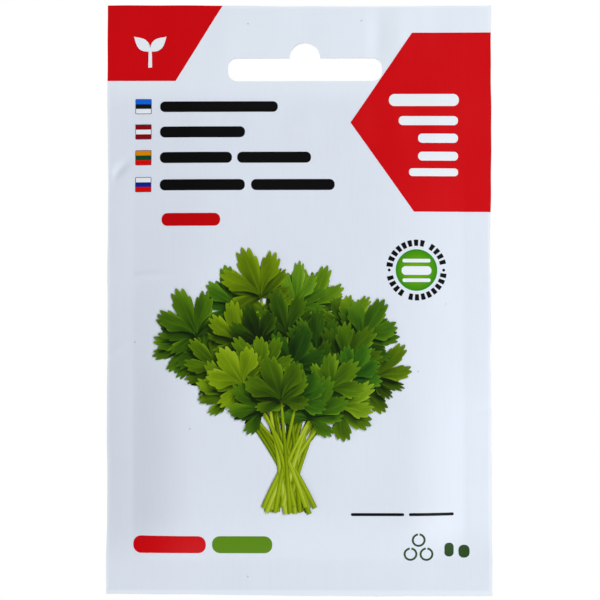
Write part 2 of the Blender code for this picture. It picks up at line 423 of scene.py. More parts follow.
def closed_slab(upper, lower):
    """Points between two grids of places, the upper faces and the other faces, all facing outwards."""
    points = np.concatenate([upper.reshape(-1, 3), lower.reshape(-1, 3)])
    top, rest = slab_faces(*upper.shape[:2])
    if signed_volume(points, np.concatenate([top, rest])) < 0:
        top, rest = top[:, ::-1], rest[:, ::-1]
    return points, top, rest


def film_slab(across, down, side, low, high):
    """A closed slab on a film between two lifts."""
    return closed_slab(on_film(across, down, side, high), on_film(across, down, side, low))


def in_scene(name, data):
    """A new object in the scene."""
    made = bpy.data.objects.new(name, data)
    bpy.context.scene.collection.objects.link(made)
    return made


def shade_smooth(mesh):
    mesh.shade_smooth()
    mesh.set_sharp_from_angle(angle=SHARP_ANGLE)


def quad_mesh(name, points, quads):
    mesh = bpy.data.meshes.new(name)
    mesh.vertices.add(len(points))
    mesh.vertices.foreach_set("co", points.astype(np.float32).ravel())
    mesh.loops.add(quads.size)
    mesh.loops.foreach_set("vertex_index", quads.astype(np.int32).ravel())
    mesh.polygons.add(len(quads))
    mesh.polygons.foreach_set("loop_start", np.arange(0, quads.size, 4, dtype=np.int32))
    mesh.update(calc_edges=True)
    shade_smooth(mesh)
    return mesh


def add_piece(name, mesh, material, slot, *replaced):
    mesh.materials.clear()
    mesh.materials.append(material)
    piece = in_scene(name, mesh)
    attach(piece, "root")
    if replaced:
        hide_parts(*replaced)
    return piece


def print_piece(name, side, material, patches):
    """Prints one piece of ink as closed slabs on a film. A patch is a grid of places, one tint or a tint for
    each place and, for an overprint, a lift. Upper faces come last, in layer order, so a flat map by place
    on the packet shows the patch on top."""
    points, tints, plans, tops, rests = [], [], [], [], []
    count = 0
    for (across, down), tint, *lift in patches:
        low = INK_LIFT + sum(lift)
        places, top, rest = film_slab(across, down, side, low, low + INK_THICKNESS)
        colour = np.broadcast_to(np.append(tint, np.ones_like(tint)[..., :1], axis=-1), across.shape + (4,))
        plan = np.stack([across, HEIGHT - down], axis=-1)
        points.append(places)
        tints.append(np.tile(colour.reshape(-1, 4), (2, 1)))
        plans.append(np.tile(plan.reshape(-1, 2), (2, 1)))
        tops.append(top + count)
        rests.append(rest + count)
        count += len(places)
    quads = np.concatenate(rests + tops)
    mesh = quad_mesh(name, np.concatenate(points), quads)
    colours = mesh.color_attributes.new(name="ink", type="FLOAT_COLOR", domain="POINT")
    colours.data.foreach_set("color", np.concatenate(tints).astype(np.float32).ravel())
    plan = np.concatenate(plans)
    flat = (plan - plan.min(axis=0)) / (plan.max(axis=0) - plan.min(axis=0))
    mesh.uv_layers.new(name="OFBake").data.foreach_set("uv", flat[quads.ravel()].astype(np.float32).ravel())
    add_piece(name, mesh, material, "film")


def steps_for(length):
    return max(2, int(np.ceil(length / PATCH_CELL)) + 1)


def quad_patch(corners):
    """Bilinear patch between four corners: upper left, upper right, lower left, lower right."""
    edges = np.array(corners, float).reshape(2, 2, 2)
    columns = steps_for(np.linalg.norm(edges[:, 1] - edges[:, 0], axis=-1).max())
    rows = steps_for(np.linalg.norm(edges[1, 0] - edges[0, 0]))
    right, lower = np.meshgrid(np.linspace(0, 1, columns), np.linspace(0, 1, rows))
    over, under = ((1 - right) * start + right * end for start, end in edges[..., None, None])
    return tuple((1 - lower) * over + lower * under)


def box_patch(left, right, top, bottom):
    return quad_patch(((left, top), (right, top), (left, bottom), (right, bottom)))


def arrow_patch():
    """The panel at the right edge: its left side runs from the upper corner to the tip and back."""
    top, tip, bottom = PANEL_DOWN
    upper = np.linspace(top, tip, steps_for(tip - top))
    lower = np.linspace(tip, bottom, steps_for(bottom - tip))
    down = np.concatenate([upper, lower[1:]])[:, None]
    left = np.interp(down, PANEL_DOWN, PANEL_LEFT)
    share = np.linspace(0, 1, steps_for(WIDTH - min(PANEL_LEFT)))
    across = left + (WIDTH - left) * share
    return across, np.broadcast_to(down, across.shape)


def rounded_patch(left, right, top, bottom, roundness=0.9):
    """A box whose columns end on round corners. roundness is their radius over half the shorter side."""
    half = (bottom - top) / 2
    radius = roundness * min(half, (right - left) / 2)
    turn = np.radians(np.linspace(0, 90, 7))
    ends = radius * (1 - np.cos(turn))
    middle = np.linspace(left + radius, right - radius, steps_for(right - left))[1:-1]
    columns = np.concatenate([left + ends, middle, (right - ends)[::-1]])
    chord = radius * np.sin(turn)
    halves = np.concatenate([chord, np.full(len(middle), radius), chord[::-1]]) + half - radius
    share = np.linspace(-1, 1, steps_for(bottom - top) + 2)
    down = (top + bottom) / 2 + share[:, None] * halves
    return np.broadcast_to(columns, down.shape), down


def bar_patch(left, right, top, bottom):
    """A bar of a share of its box's height."""
    middle = (top + bottom) / 2
    half = BAR_SHARE * (bottom - top) / 2
    return rounded_patch(left, right, middle - half, middle + half)


def disc_patch(middle, radius):
    """A square grid pressed into a disc: each coordinate shrinks with the square of the other."""
    share = np.linspace(-1, 1, 2 * steps_for(radius) + 5)
    right, lower = np.meshgrid(share, share)
    across = middle[0] + radius * right * np.sqrt(1 - lower**2 / 2)
    down = middle[1] + radius * lower * np.sqrt(1 - right**2 / 2)
    return across, down


def arc_patch(middle, inner, outer, start, end):
    """Part of a ring, from a start to an end turn in degrees, clockwise from up."""
    turn = np.radians(np.linspace(start, end, 2 + int(abs(end - start) / 5)))
    radius = np.linspace(inner, outer, 4)[:, None]
    return middle[0] + radius * np.sin(turn), middle[1] - radius * np.cos(turn)


def lens_patch(foot, heading, length, width):
    """A plain pointed leaf from its foot: its width is a sine of the way along, never quite nought."""
    along, beside = np.meshgrid(np.linspace(0, 1, 15), np.linspace(-1, 1, 5), indexing="ij")
    half = width / 2 * np.maximum(np.sin(np.pi * along**0.85), 0.03)
    return turned(foot, heading, along * length, beside * half)


def turned(foot, heading, forward, sideways):
    """Places forward of a foot, along a heading in radians clockwise from up, and to its right."""
    across = foot[0] + forward * np.sin(heading) + sideways * np.cos(heading)
    down = foot[1] - forward * np.cos(heading) + sideways * np.sin(heading)
    return across, down


class Signal:
    """A node's output. Arithmetic on it adds Math nodes, so a map is written as one expression."""

    def __init__(self, finish, socket):
        self.finish = finish
        self.socket = socket

    def beside(self, output):
        """Another output of the same node."""
        return Signal(self.finish, self.socket.node.outputs[output])

    def __add__(self, other):
        return self.finish.maths("ADD", self, other)

    def __sub__(self, other):
        return self.finish.maths("SUBTRACT", self, other)

    def __rsub__(self, other):
        return self.finish.maths("SUBTRACT", other, self)

    def __mul__(self, other):
        return self.finish.maths("MULTIPLY", self, other)

    __radd__ = __add__
    __rmul__ = __mul__


class Finish:
    """A material being made. Any node comes from node(), and values combine through Signal."""

    def __init__(self, name, **constants):
        self.material = bpy.data.materials.new(name)
        self.material.use_nodes = True
        self.nodes = self.material.node_tree.nodes
        self.shader = self.nodes["Principled BSDF"]
        for socket, value in constants.items():
            self.feed(self.shader.inputs[socket.replace("_", " ")], value)

    def feed(self, socket, value):
        if isinstance(value, Signal):
            self.material.node_tree.links.new(value.socket, socket)
        else:
            socket.default_value = value

    def node(self, kind, inputs=None, output=0, **settings):
        made = self.nodes.new("ShaderNode" + kind)
        for name, value in settings.items():
            setattr(made, name, value)
        for key, value in (inputs or {}).items():
            self.feed(made.inputs[key], value)
        return Signal(self, made.outputs[output])

    def maths(self, operation, first, second):
        return self.node("Math", {0: first, 1: second}, operation=operation)

    def place(self):
        return self.node("TexCoord", output="Object")

    def noise(self, scale, stretch=(1, 1, 1), detail=2.0):
        """Noise about nought on the object's coordinates. stretch multiplies the scale along each axis."""
        where = self.node("Mapping", {"Vector": self.place(), "Scale": stretch})
        return self.node("TexNoise", {"Vector": where, "Scale": scale, "Detail": detail}) - 0.5

    def smooth(self, value, low, high):
        """Rises from 0 to 1 as the value goes from low to high."""
        limits = {"Value": value, "From Min": low, "From Max": high}
        return self.node("MapRange", limits, interpolation_type="SMOOTHSTEP")

    def mix(self, factor, first, second):
        return self.node("Mix", {0: factor, 6: first, 7: second}, 2, data_type="RGBA", clamp_factor=True)

    def bump(self, height, distance):
        return self.node("Bump", {"Height": height, "Distance": distance, "Strength": 1.0})

    def drive(self, socket, value):
        self.feed(self.shader.inputs[socket], value)


def solid(colour):
    return (*colour, 1.0)


def brighter(colour, gain):
    return tuple(min(1.0, channel * gain) for channel in colour) + (1.0,)


def web_streaks(finish):
    """Fine lines along the film's web direction, which runs up and down the packet."""
    return finish.noise(2400, (1, 1, 0.035), 3.0)


def clouds(finish):
    return finish.noise(55, detail=3.0)


def skin_bump(finish):
    """Orange peel of the laminate and the faint lines of its web."""
    peel = finish.noise(900, (1, 1, 0.6))
    return finish.bump(peel + 0.35 * web_streaks(finish), 0.000004)


def laminate_finish(film):
    """White laminate: streaked and clouded, with painted highlights on the welded header and along the edges,
    and a few specks.
    """
    finish = Finish("white_laminate", Specular_IOR_Level=0.3, IOR=1.5)
    tone = 0.5 + 0.55 * web_streaks(finish) + 0.9 * clouds(finish)
    ground = finish.mix(tone, brighter(film.colour, 0.965), brighter(film.colour, 1.035))
    where = finish.node("SeparateXYZ", {"Vector": finish.place()})
    height = where.beside("Z")
    from_side = finish.maths("MINIMUM", where - FILM_LOW.x, FILM_HIGH.x - where)
    from_end = finish.maths("MINIMUM", height - FILM_LOW.z, FILM_HIGH.z - height)
    # Painted highlights: a pale strip along the cut edges, a wider one along the foot, and a paler header, as
    # where light catches the film.
    edge_highlight = 1 - finish.smooth(finish.maths("MINIMUM", from_side, from_end), *CUT_EDGE_HIGHLIGHT)
    foot = 1 - finish.smooth(height - FILM_LOW.z, *FOOT_EDGE_HIGHLIGHT)
    header_highlight = finish.smooth(height, *(FILM_HIGH.z - share * HEADER_SEAL * MM for share in HEADER_HIGHLIGHT_FADE))
    highlight_colour = brighter(film.colour, 1.12)
    highlighted_ground = finish.mix(0.4 * header_highlight, ground, highlight_colour)
    highlighted_ground = finish.mix(0.6 * finish.maths("MAXIMUM", edge_highlight, foot), highlighted_ground, highlight_colour)
    flat = finish.node("CombineXYZ", {0: where, 1: height})
    cells = finish.node("TexVoronoi", {"Vector": flat, "Scale": 170}, voronoi_dimensions="2D")
    chance = finish.node("SeparateColor", {"Color": cells.beside("Color")})
    few = finish.smooth(chance, 0.955, 0.96)
    speck = few * (1 - finish.smooth(cells, 0.015, 0.045))
    finish.drive("Base Color", finish.mix(0.35 * speck, highlighted_ground, solid(srgb(*DUST_COLOUR))))
    finish.drive("Roughness", film.roughness + 0.1 * clouds(finish) + 0.06 * web_streaks(finish))
    finish.drive("Normal", skin_bump(finish))
    return finish.material


def ink_finish(film, name, mottle):
    """Printed ink: the piece's own ink colour, slightly mottled, with the film's gloss."""
    finish = Finish(name, Specular_IOR_Level=0.22, IOR=1.5)
    ink = finish.node("Attribute", attribute_name="ink")
    tone = 1 + mottle * (web_streaks(finish) + 1.2 * clouds(finish) + 0.8 * finish.noise(1500))
    grey = finish.node("CombineXYZ", {0: tone, 1: tone, 2: tone})
    finish.drive("Base Color", finish.node("VectorMath", {0: ink, 1: grey}, operation="MULTIPLY"))
    finish.drive("Roughness", film.roughness - 0.04 + 0.1 * clouds(finish))
    finish.drive("Normal", skin_bump(finish))
    return finish.material


def husk_finish(seeds):
    """Dry fruit husk: straw brown, mottled with the paler rib colour in blotches, with darker flecks and a
    fine rough grain.
    """
    finish = Finish("seed_husk", Specular_IOR_Level=0.25, IOR=1.45)
    blotch = finish.noise(700, detail=4.0)
    grain = finish.noise(5200, (1, 1, 0.5), 3.0)
    ground = finish.mix(0.5 + 1.1 * blotch, brighter(seeds.husk, 0.72), solid(seeds.rib))
    fleck = finish.smooth(finish.noise(2600), 0.13, 0.2)
    finish.drive("Base Color", finish.mix(0.5 * fleck, ground, brighter(seeds.husk, 0.38)))
    finish.drive("Roughness", 0.78 + 0.2 * grain)
    finish.drive("Normal", finish.bump(grain + 0.6 * blotch, 0.00006))
    return finish.material


def floor_finish(stage):
    finish = Finish("pale_floor", Roughness=0.6, Specular_IOR_Level=0.2)
    finish.drive("Emission Color", solid(stage.floor))
    finish.drive("Emission Strength", stage.floor_glow)
    tone = 0.5 + finish.noise(14, detail=3.0)
    finish.drive("Base Color", finish.mix(tone, brighter(stage.floor, 0.97), solid(stage.floor)))
    return finish.material


def slot_outline():
    """The slot's x and z in millimetres, from its lower right corner over the crown to the left."""
    corner_x = SLOT_WIDTH / 2 - SLOT_CORNER
    arm_top = -SLOT_CROWN_RADIUS
    upper = arm_top - SLOT_CORNER
    lower = arm_top - SLOT_ARM_HEIGHT + SLOT_CORNER
    outline = []
    for middle_x, middle_z, radius, start, end in (
        (corner_x, lower, SLOT_CORNER, -90, 0),
        (corner_x, upper, SLOT_CORNER, 0, 90),
        (0, arm_top, SLOT_CROWN_RADIUS, 0, 180),
        (-corner_x, upper, SLOT_CORNER, 90, 180),
        (-corner_x, lower, SLOT_CORNER, 180, 270),
    ):
        turn = np.radians(np.linspace(start, end, SLOT_ARC_STEPS))
        arc = (middle_x + radius * np.cos(turn), middle_z + radius * np.sin(turn))
        outline.append(np.stack(arc, axis=-1))
    return np.concatenate(outline)


def slot_cutter():
    """A prism through both films with the slot's outline."""
    outline = slot_outline() * MM
    count = len(outline)
    depth = np.repeat((-SLOT_CUT_DEPTH * MM, SLOT_CUT_DEPTH * MM), count)
    points = np.stack([np.tile(outline[:, 0], 2), depth, np.tile(outline[:, 1], 2)], axis=-1)
    near = np.arange(count)
    after = np.roll(near, -1)
    walls = np.stack([near, near + count, after + count, after], axis=-1)
    faces = [near.tolist(), (near[::-1] + count).tolist(), *walls.tolist()]
    mesh = bpy.data.meshes.new("slot_cutter")
    mesh.from_pydata(points.tolist(), [], faces)
    return in_scene("slot_cutter", mesh)


def film_sheet(name, side, replaced, cutter, material):
    """One film of even thickness on a grid over the whole packet, with the slot punched through it."""
    columns = np.linspace(0, WIDTH, int(WIDTH / FILM_CELL) + 1)
    rows = np.linspace(0, HEIGHT, int(HEIGHT / FILM_CELL) + 1)
    across, down = np.meshgrid(columns, rows)
    points, top, rest = film_slab(across, down, side, -FILM_THICKNESS, 0.0)
    mesh = quad_mesh(name, points, np.concatenate([top, rest]))
    piece = add_piece(name, mesh, material, "film", replaced)
    punch = piece.modifiers.new("punched_slot", "BOOLEAN")
    punch.operation = "DIFFERENCE"
    punch.solver = "EXACT"
    punch.object = cutter
    shaped = piece.evaluated_get(bpy.context.evaluated_depsgraph_get())
    punched = bpy.data.meshes.new_from_object(shaped)
    piece.modifiers.clear()
    piece.data = punched
    shade_smooth(punched)


class PACKET_OT_films(bpy.types.Operator):
    """Makes the front and back film with their pocket, creases and punched hanging slot"""

    bl_idname = "packet.films"
    bl_label = "Films"

    def execute(self, context):
        material = laminate_finish(context.scene.packet_film)
        cutter = slot_cutter()
        film_sheet("front_laminate", FRONT, "front_film", cutter, material)
        film_sheet("back_laminate", BACK, "back_film", cutter, material)
        bpy.data.objects.remove(cutter)
        return {"FINISHED"}


def seedling(tint):
    """A stalk and two leaves."""
    foot_across, foot_down = SEEDLING_FOOT
    stalk = [
        (foot_across + hand * half, down)
        for down, half in ((SEEDLING_NECK, 0.32), (foot_down, 0.4))
        for hand in (-1, 1)
    ]
    parts = [(quad_patch(stalk), tint, OVERPRINT_LIFT)]
    for step, heading in enumerate((-48, 48), 2):
        leaf = lens_patch((foot_across, SEEDLING_NECK + 0.3), np.radians(heading), *SEEDLING_LEAF)
        parts.append((leaf, tint, step * OVERPRINT_LIFT))
    return parts


def striped_chips(colours):
    """A dark rim and three overprinted stripes for each chip."""
    parts = []
    right = CHIP_LEFT + CHIP_WIDTH
    for top, stripes in zip(CHIP_TOPS, CHIP_STRIPES):
        rim = (CHIP_LEFT - CHIP_RIM, right + CHIP_RIM, top - CHIP_RIM, top + CHIP_HEIGHT + CHIP_RIM)
        parts.append((rounded_patch(*rim, roundness=0.12), srgb(*RIM_COLOUR)))
        levels = np.linspace(top, top + CHIP_HEIGHT, len(stripes) + 1)
        for upper, lower, shown in zip(levels, levels[1:], stripes):
            tint = srgb(*shown) if shown else colours.white
            parts.append((box_patch(CHIP_LEFT, right, upper, lower), tint, OVERPRINT_LIFT))
    return parts


def badge(colours):
    """A disc, lime in its middle and green at its rim, with bars on it and a ring of blocks round it."""
    across, down = disc_patch(BADGE_MIDDLE, BADGE_RADIUS)
    out = np.hypot(across - BADGE_MIDDLE[0], down - BADGE_MIDDLE[1])[..., None] / BADGE_RADIUS
    disc = out**2 * np.array(colours.badge_green) + (1 - out**2) * np.array(colours.badge_lime)
    parts = [((across, down), disc)]
    for half_width, height, below in BADGE_BARS:
        middle, down = BADGE_MIDDLE[0], BADGE_MIDDLE[1] + below
        box = (middle - half_width, middle + half_width, down - height / 2, down + height / 2)
        parts.append((rounded_patch(*box), colours.white, OVERPRINT_LIFT))
    for half in (0, 180):
        for start in BADGE_BLOCKS:
            block = arc_patch(BADGE_MIDDLE, *BADGE_RING, half + start, half + start + BADGE_BLOCK_TURN)
            parts.append((block, colours.black))
        dot = turned(BADGE_MIDDLE, np.radians(half + 90), sum(BADGE_RING) / 2, 0.0)
        parts.append((disc_patch(dot, BADGE_DOT_RADIUS), colours.black))
    return parts


def front_pieces(colours):
    """Names and patches of the front's inks. The seedling and the bars on the panel are overprints."""
    yield "corner_block", [(quad_patch(CORNER_BLOCK), colours.red)]
    yield "arrow_panel", [(arrow_patch(), colours.red)]
    yield "corner_seedling", seedling(colours.white)
    for name, patch, boxes, tints, *lift in (
        ("panel_bars", bar_patch, PANEL_BARS, [colours.white], OVERPRINT_LIFT),
        ("title_bars", bar_patch, TITLE_BARS, [colours.black]),
        ("variety_bar", bar_patch, [RED_BAR], [colours.deep_red]),
        ("foot_bars", bar_patch, FOOT_BARS, [colours.red, colours.leaf_green]),
        ("thin_bars", rounded_patch, THIN_BARS, [colours.black]),
    ):
        yield name, [(patch(*box), tint, *lift) for box, tint in zip(boxes, tints * len(boxes))]
    yield "striped_chips", striped_chips(colours)
    yield "round_badge", badge(colours)
    signs = [arc_patch(middle, *RING_RADII, *RING_TURNS) for middle in RING_SIGNS]
    signs += [bar_patch(*box) for box in SMALL_BARS]
    yield "seed_signs", [(patch, colours.dark_green) for patch in signs]


class PACKET_OT_front_print(bpy.types.Operator):
    """Lays the red blocks, the bars, the striped chips, the badge and the small signs on the front"""

    bl_idname = "packet.front_print"
    bl_label = "Front print"

    def execute(self, context):
        material = ink_finish(context.scene.packet_film, "printed_ink", 0.05)
        for name, patches in front_pieces(context.scene.packet_print):
            print_piece(name, FRONT, material, patches)
        return {"FINISHED"}


def saw(turn, teeth):
    """Rises from -1 to 1 over each even part of the turns from -1 to 1."""
    return np.mod(0.5 * teeth * turn + 0.5, 1) * 2 - 1


def leaf_reach(turn, cut, tooth):
    """A leaflet's outline at a turn from -1 to 1, as a share of its length: notched lobes with teeth."""
    in_lobe, in_tooth = np.abs(saw(turn, LEAF_LOBES)), np.abs(saw(turn, LEAF_TEETH))
    return (1 - cut * in_lobe**2.4) * (1 - tooth * in_tooth**1.4) * (1 - 0.24 * turn**2)


def leaf_narrowing(share):
    """A leaflet's sides start steeper at its base than they end."""
    return 0.55 + 0.45 * clamp01(share / 0.55)


@dataclass
class Leaflet:
    """A wedge-shaped toothed leaflet: its polar grid, and the way back from places on the packet."""

    foot: tuple
    heading: float
    length: float
    spread: float
    squash: float
    cut: float
    tooth: float
    tone: float
    warmth: float

    def grid(self):
        """Rings times turns: a ring's share of the outline's reach at each turn."""
        self.ring, self.turn = np.meshgrid(
            np.linspace(0.04, 1, LEAF_ROWS) ** 0.8, np.linspace(-1, 1, LEAF_COLUMNS), indexing="ij"
        )
        share = self.ring * leaf_reach(self.turn, self.cut, self.tooth)
        angle = self.spread * self.turn * leaf_narrowing(share)
        forward = self.length * share * np.cos(angle)
        sideways = self.length * share * np.sin(angle) * self.squash
        return turned(self.foot, self.heading, forward, sideways)

    def cover(self, across, down, soft):
        """From 0 outside the outline to 1 deeper inside than soft."""
        right, below = across - self.foot[0], down - self.foot[1]
        forward = right * np.sin(self.heading) - below * np.cos(self.heading)
        sideways = (right * np.cos(self.heading) + below * np.sin(self.heading)) / self.squash
        distance = np.hypot(forward, sideways)
        share = distance / self.length
        turn = np.arctan2(sideways, forward) / (self.spread * leaf_narrowing(share))
        reach = self.length * leaf_reach(np.clip(turn, -1, 1), self.cut, self.tooth)
        beside = (1 - np.abs(turn)) * self.spread * distance
        return clamp01(np.minimum(reach - distance, beside) / soft)

    def light(self, mottling):
        """Lightness before shadows: darker at the base, folded along each lobe, with pale veins and edge."""
        lobe = saw(self.turn, LEAF_LOBES)
        vein = bell(lobe * self.ring * self.length, 0.34) * (1.1 - self.ring)
        side_vein = bell(saw(self.turn, LEAF_TEETH), 0.35) * smooth_step(self.ring, 0.45, 0.75)
        light = self.tone + 0.26 * (self.ring - 0.6) + 0.09 * lobe * self.ring
        light = light + 0.16 * vein + 0.05 * side_vein + 0.08 * smooth_step(self.ring, 0.86, 1.0)
        phase = mottling * (1 + np.arange(3))
        waves = np.sin(5.1 * self.turn + phase[0]) * np.sin(4.3 * self.ring + phase[1])
        return light + 0.05 * waves + 0.04 * np.sin(13 * self.turn + 7 * self.ring + phase[2])


def ramp(light, stops):
    """Linear colours of lightness values, read between display colours at even steps."""
    steps = np.linspace(0, 1, len(stops))
    shown = np.stack([np.interp(light, steps, channel) for channel in zip(*stops)], axis=-1)
    return (shown / 255) ** 2.2


def stem_patch(start, bend, end, width_start, width_end):
    """A stem along a quadratic curve, with the places along and across it."""
    along, beside = np.meshgrid(np.linspace(0, 1, STEM_ROWS), np.linspace(-1, 1, STEM_COLUMNS), indexing="ij")
    start, bend, end = (np.asarray(point, float) for point in (start, bend, end))
    share = along[..., None]
    spine = (1 - share) ** 2 * start + 2 * share * (1 - share) * bend + share**2 * end
    way = 2 * (1 - share) * (bend - start) + 2 * share * (end - bend)
    way = way / np.linalg.norm(way, axis=-1, keepdims=True)
    half = (width_start + (width_end - width_start) * along) / 2 * beside
    return (spine[..., 0] - way[..., 1] * half, spine[..., 1] + way[..., 0] * half), along, beside


class PACKET_OT_picture(bpy.types.Operator):
    """Prints the fan of herb sprigs: stems, back leaves and front leaves, layer over layer"""

    bl_idname = "packet.picture"
    bl_label = "Herb picture"

    def execute(self, context):
        settings = context.scene.packet_picture
        self.random = np.random.default_rng(settings.seed)
        self.length = settings.leaflet_length / MM
        self.stem_width = settings.stem_width / MM
        self.layers = []
        for ring in self.rings():
            self.ring_of_sprigs(*ring)
        self.stack()
        self.cast_shadows()
        material = ink_finish(context.scene.packet_film, "picture_ink", 0.09)
        for name in dict.fromkeys(layer["piece"] for layer in self.layers):
            own = [layer for layer in self.layers if layer["piece"] == name]
            patches = ((layer["grid"], self.tint(layer), PICTURE_STEP * layer["level"]) for layer in own)
            print_piece(name, FRONT, material, patches)
        return {"FINISHED"}

    def rings(self):
        """From back to front: sprigs, widest turn, reach, size share, tone, leaflets, piece's name."""
        return (
            (5, 40, 10.0, 0.9, 0.0, 3, "picture_under_leaves"),
            (8, 50, 19.0, 1.05, 0.04, 3, "picture_under_leaves"),
            (9, 54, 30.5, 1.0, 0.36, 5, "picture_back_leaves"),
            (7, 50, 22.5, 0.95, 0.22, 3, "picture_front_leaves"),
            (7, 62, 15.5, 1.0, 0.36, 3, "picture_front_leaves"),
            (4, 44, 9.5, 0.9, 0.34, 3, "picture_front_leaves"),
        )

    def ring_of_sprigs(self, count, widest, reach, size, tone, leaflets, piece):
        """Sprigs at even turns with jitter, each on a bent stem through the gathering."""
        jitter = self.random.uniform(-1, 1, (count, 6))
        for place in self.random.permutation(count):
            near, far, hue, shade, lean, step = jitter[place]
            heading = np.radians(widest * (2 * (place + 0.5) / count - 1) + 3.5 * near)
            turn = heading / np.radians(widest)
            distance = reach * (1 + 0.05 * far - 0.14 * turn**2 - 0.1 * turn)
            tip = turned(GATHER, heading, distance, 0.0)
            waist = (GATHER[0] + 2.4 * np.sin(heading) + 1.3 * lean, GATHER[1] + 2.5 * step)
            foot = (GATHER[0] - 4.6 * np.sin(heading) + 2.4 * lean, STEM_FOOT_DOWN + 0.9 * step)
            bend = (waist[0] + 0.12 * (waist[0] - foot[0]), waist[1] - 2.0)
            self.stem(foot, bend, tip, min(tone, 0.36) + 0.12 + 0.16 * shade)
            leaning = heading + 0.25 * lean
            own_tone = tone + 0.13 * shade - 0.04 * turn
            warmth = clamp01(0.55 + 0.5 * hue - 0.15 * turn)
            self.sprig(tip, leaning, size * (1 + 0.1 * step), own_tone, warmth, leaflets, piece)

    def stem(self, start, bend, end, tone):
        width = self.stem_width
        grid, along, beside = stem_patch(start, bend, end, width * 1.1, width * 0.55)
        light = tone + 0.22 * bell(beside - 0.25, 0.5) - 0.12 * beside**2 + 0.06 * np.sin(9 * along)
        spine = np.stack([grid[0][:, STEM_COLUMNS // 2], grid[1][:, STEM_COLUMNS // 2]], axis=-1)
        layer = {"grid": grid, "light": light, "piece": "picture_stems", "middles": spine, "reach": width}
        self.layers.append(layer)

    def sprig(self, tip, heading, size, tone, warmth, leaflets, piece):
        """A compound leaf: one leaflet ahead, one pair at its sides and, on a five, a lower pair."""
        length = self.length * size
        pairs = ((62, 0.0, 0.86),) if leaflets == 3 else ((84, -0.34, 0.74), (56, 0.0, 0.88))
        for turn, shift, share in pairs:
            for hand in (-1, 1):
                foot = turned(tip, heading, (shift + 0.02) * length, 0.0)
                aside = heading + hand * np.radians(turn)
                self.leaflet(foot, aside, length * share, tone - 0.02, warmth, piece)
        foot = turned(tip, heading, 0.12 * length, 0.0)
        self.leaflet(foot, heading, length, tone + 0.04, warmth, piece)

    def leaflet(self, foot, heading, length, tone, warmth, piece):
        """One leaflet, its base over the stem's end, darker near the picture's heart."""
        wide, flat, deep, sharp, turn, shade, mottling = self.random.uniform(0, 1, 7)
        depth = bell(np.hypot(foot[0] - PICTURE_HEART[0], foot[1] - PICTURE_HEART[1]), 12.0)
        leaf = Leaflet(
            foot=turned(foot, heading, -0.12 * length, 0.0),
            heading=heading + 0.3 * (turn - 0.5),
            length=length * (1.04 + 0.2 * flat),
            spread=np.radians(56 + 16 * wide),
            squash=0.72 + 0.3 * flat,
            cut=0.34 + 0.16 * deep,
            tooth=0.1 + 0.06 * sharp,
            tone=tone + 0.2 * (shade - 0.5) - 0.12 * depth,
            warmth=warmth,
        )
        layer = {"leaf": leaf, "grid": leaf.grid(), "light": leaf.light(20 * mottling), "piece": piece}
        layer["middles"] = np.array([turned(leaf.foot, leaf.heading, 0.55 * leaf.length, 0.0)])
        layer["reach"] = 0.58 * leaf.length
        self.layers.append(layer)

    def stack(self):
        """Gives each layer the lowest level over all earlier layers that it can touch, tested as discs."""
        for number, layer in enumerate(self.layers):
            below = [-1]
            for earlier in self.layers[:number]:
                apart = layer["middles"][:, None] - earlier["middles"][None]
                if np.min(np.linalg.norm(apart, axis=-1)) < layer["reach"] + earlier["reach"]:
                    below.append(earlier["level"])
            layer["level"] = 1 + max(below)

    def cast_shadows(self):
        """Each leaflet darkens what lies under it and a little to its lower left."""
        starts = np.cumsum([0] + [layer["light"].size for layer in self.layers])
        across, down = (np.concatenate([layer["grid"][k].ravel() for layer in self.layers]) for k in (0, 1))
        shadow = np.zeros(len(across))
        for start, layer in zip(starts, self.layers):
            if "leaf" in layer and start:
                dark = layer["leaf"].cover(across[:start] + 0.6, down[:start] - 0.9, 1.7)
                shadow[:start] = np.maximum(shadow[:start], dark)
        for own, layer in zip(np.split(shadow, starts[1:-1]), self.layers):
            layer["shadow"] = own.reshape(layer["light"].shape)

    def tint(self, layer):
        light = layer["light"] - 0.42 * layer["shadow"]
        if "leaf" not in layer:
            return ramp(light, STEM_GREENS)
        warmth = layer["leaf"].warmth
        return warmth * ramp(light, WARM_GREENS) + (1 - warmth) * ramp(light, COOL_GREENS)


def behind_patch(left, right, top, bottom, roundness=0.9):
    """A rounded box, its left and right as seen from behind."""
    return rounded_patch(WIDTH - right, WIDTH - left, top, bottom, roundness)


def back_pieces(colours):
    """Names and patches of the back's inks: a band, sowing notes as bars, and a row of month boxes."""
    random = np.random.default_rng(BACK_SEED)
    yield "back_band", [(box_patch(*BACK_BAND), colours.red)]
    notes = []
    for note in range(NOTES):
        top = NOTES_TOP + NOTE_STEP * note
        stop = NOTES_LEFT + random.uniform(*NOTE_TITLE)
        notes.append(behind_patch(NOTES_LEFT, stop, top, top + NOTE_TITLE_HEIGHT))
        for line in range(LINES):
            level = top + LINES_BELOW + LINE_STEP * line
            length = random.uniform(*(FULL_LINE if line < LINES - 1 else LAST_LINE))
            start = NOTES_LEFT
            while start < NOTES_LEFT + length:
                stop = min(start + random.uniform(*BAR_LENGTH), NOTES_RIGHT)
                notes.append(behind_patch(start, stop, level, level + LINE_HEIGHT))
                start = stop + BAR_GAP
    yield "back_notes", [(patch, colours.black) for patch in notes]
    months = []
    for month in range(12):
        left = NOTES_LEFT + MONTH_STEP * month
        tint = colours.badge_green if month in SOWING_MONTHS else srgb(*MONTH_GREY)
        months.append((behind_patch(left, left + MONTH_WIDTH, *MONTH_LEVELS, 0.2), tint))
    yield "back_months", months


class PACKET_OT_back_print(bpy.types.Operator):
    """Lays plain sowing notes, as bars, and a row of month boxes on the back"""

    bl_idname = "packet.back_print"
    bl_label = "Back print"

    def execute(self, context):
        material = ink_finish(context.scene.packet_film, "back_ink", 0.05)
        for name, patches in back_pieces(context.scene.packet_print):
            print_piece(name, BACK, material, patches)
        return {"FINISHED"}


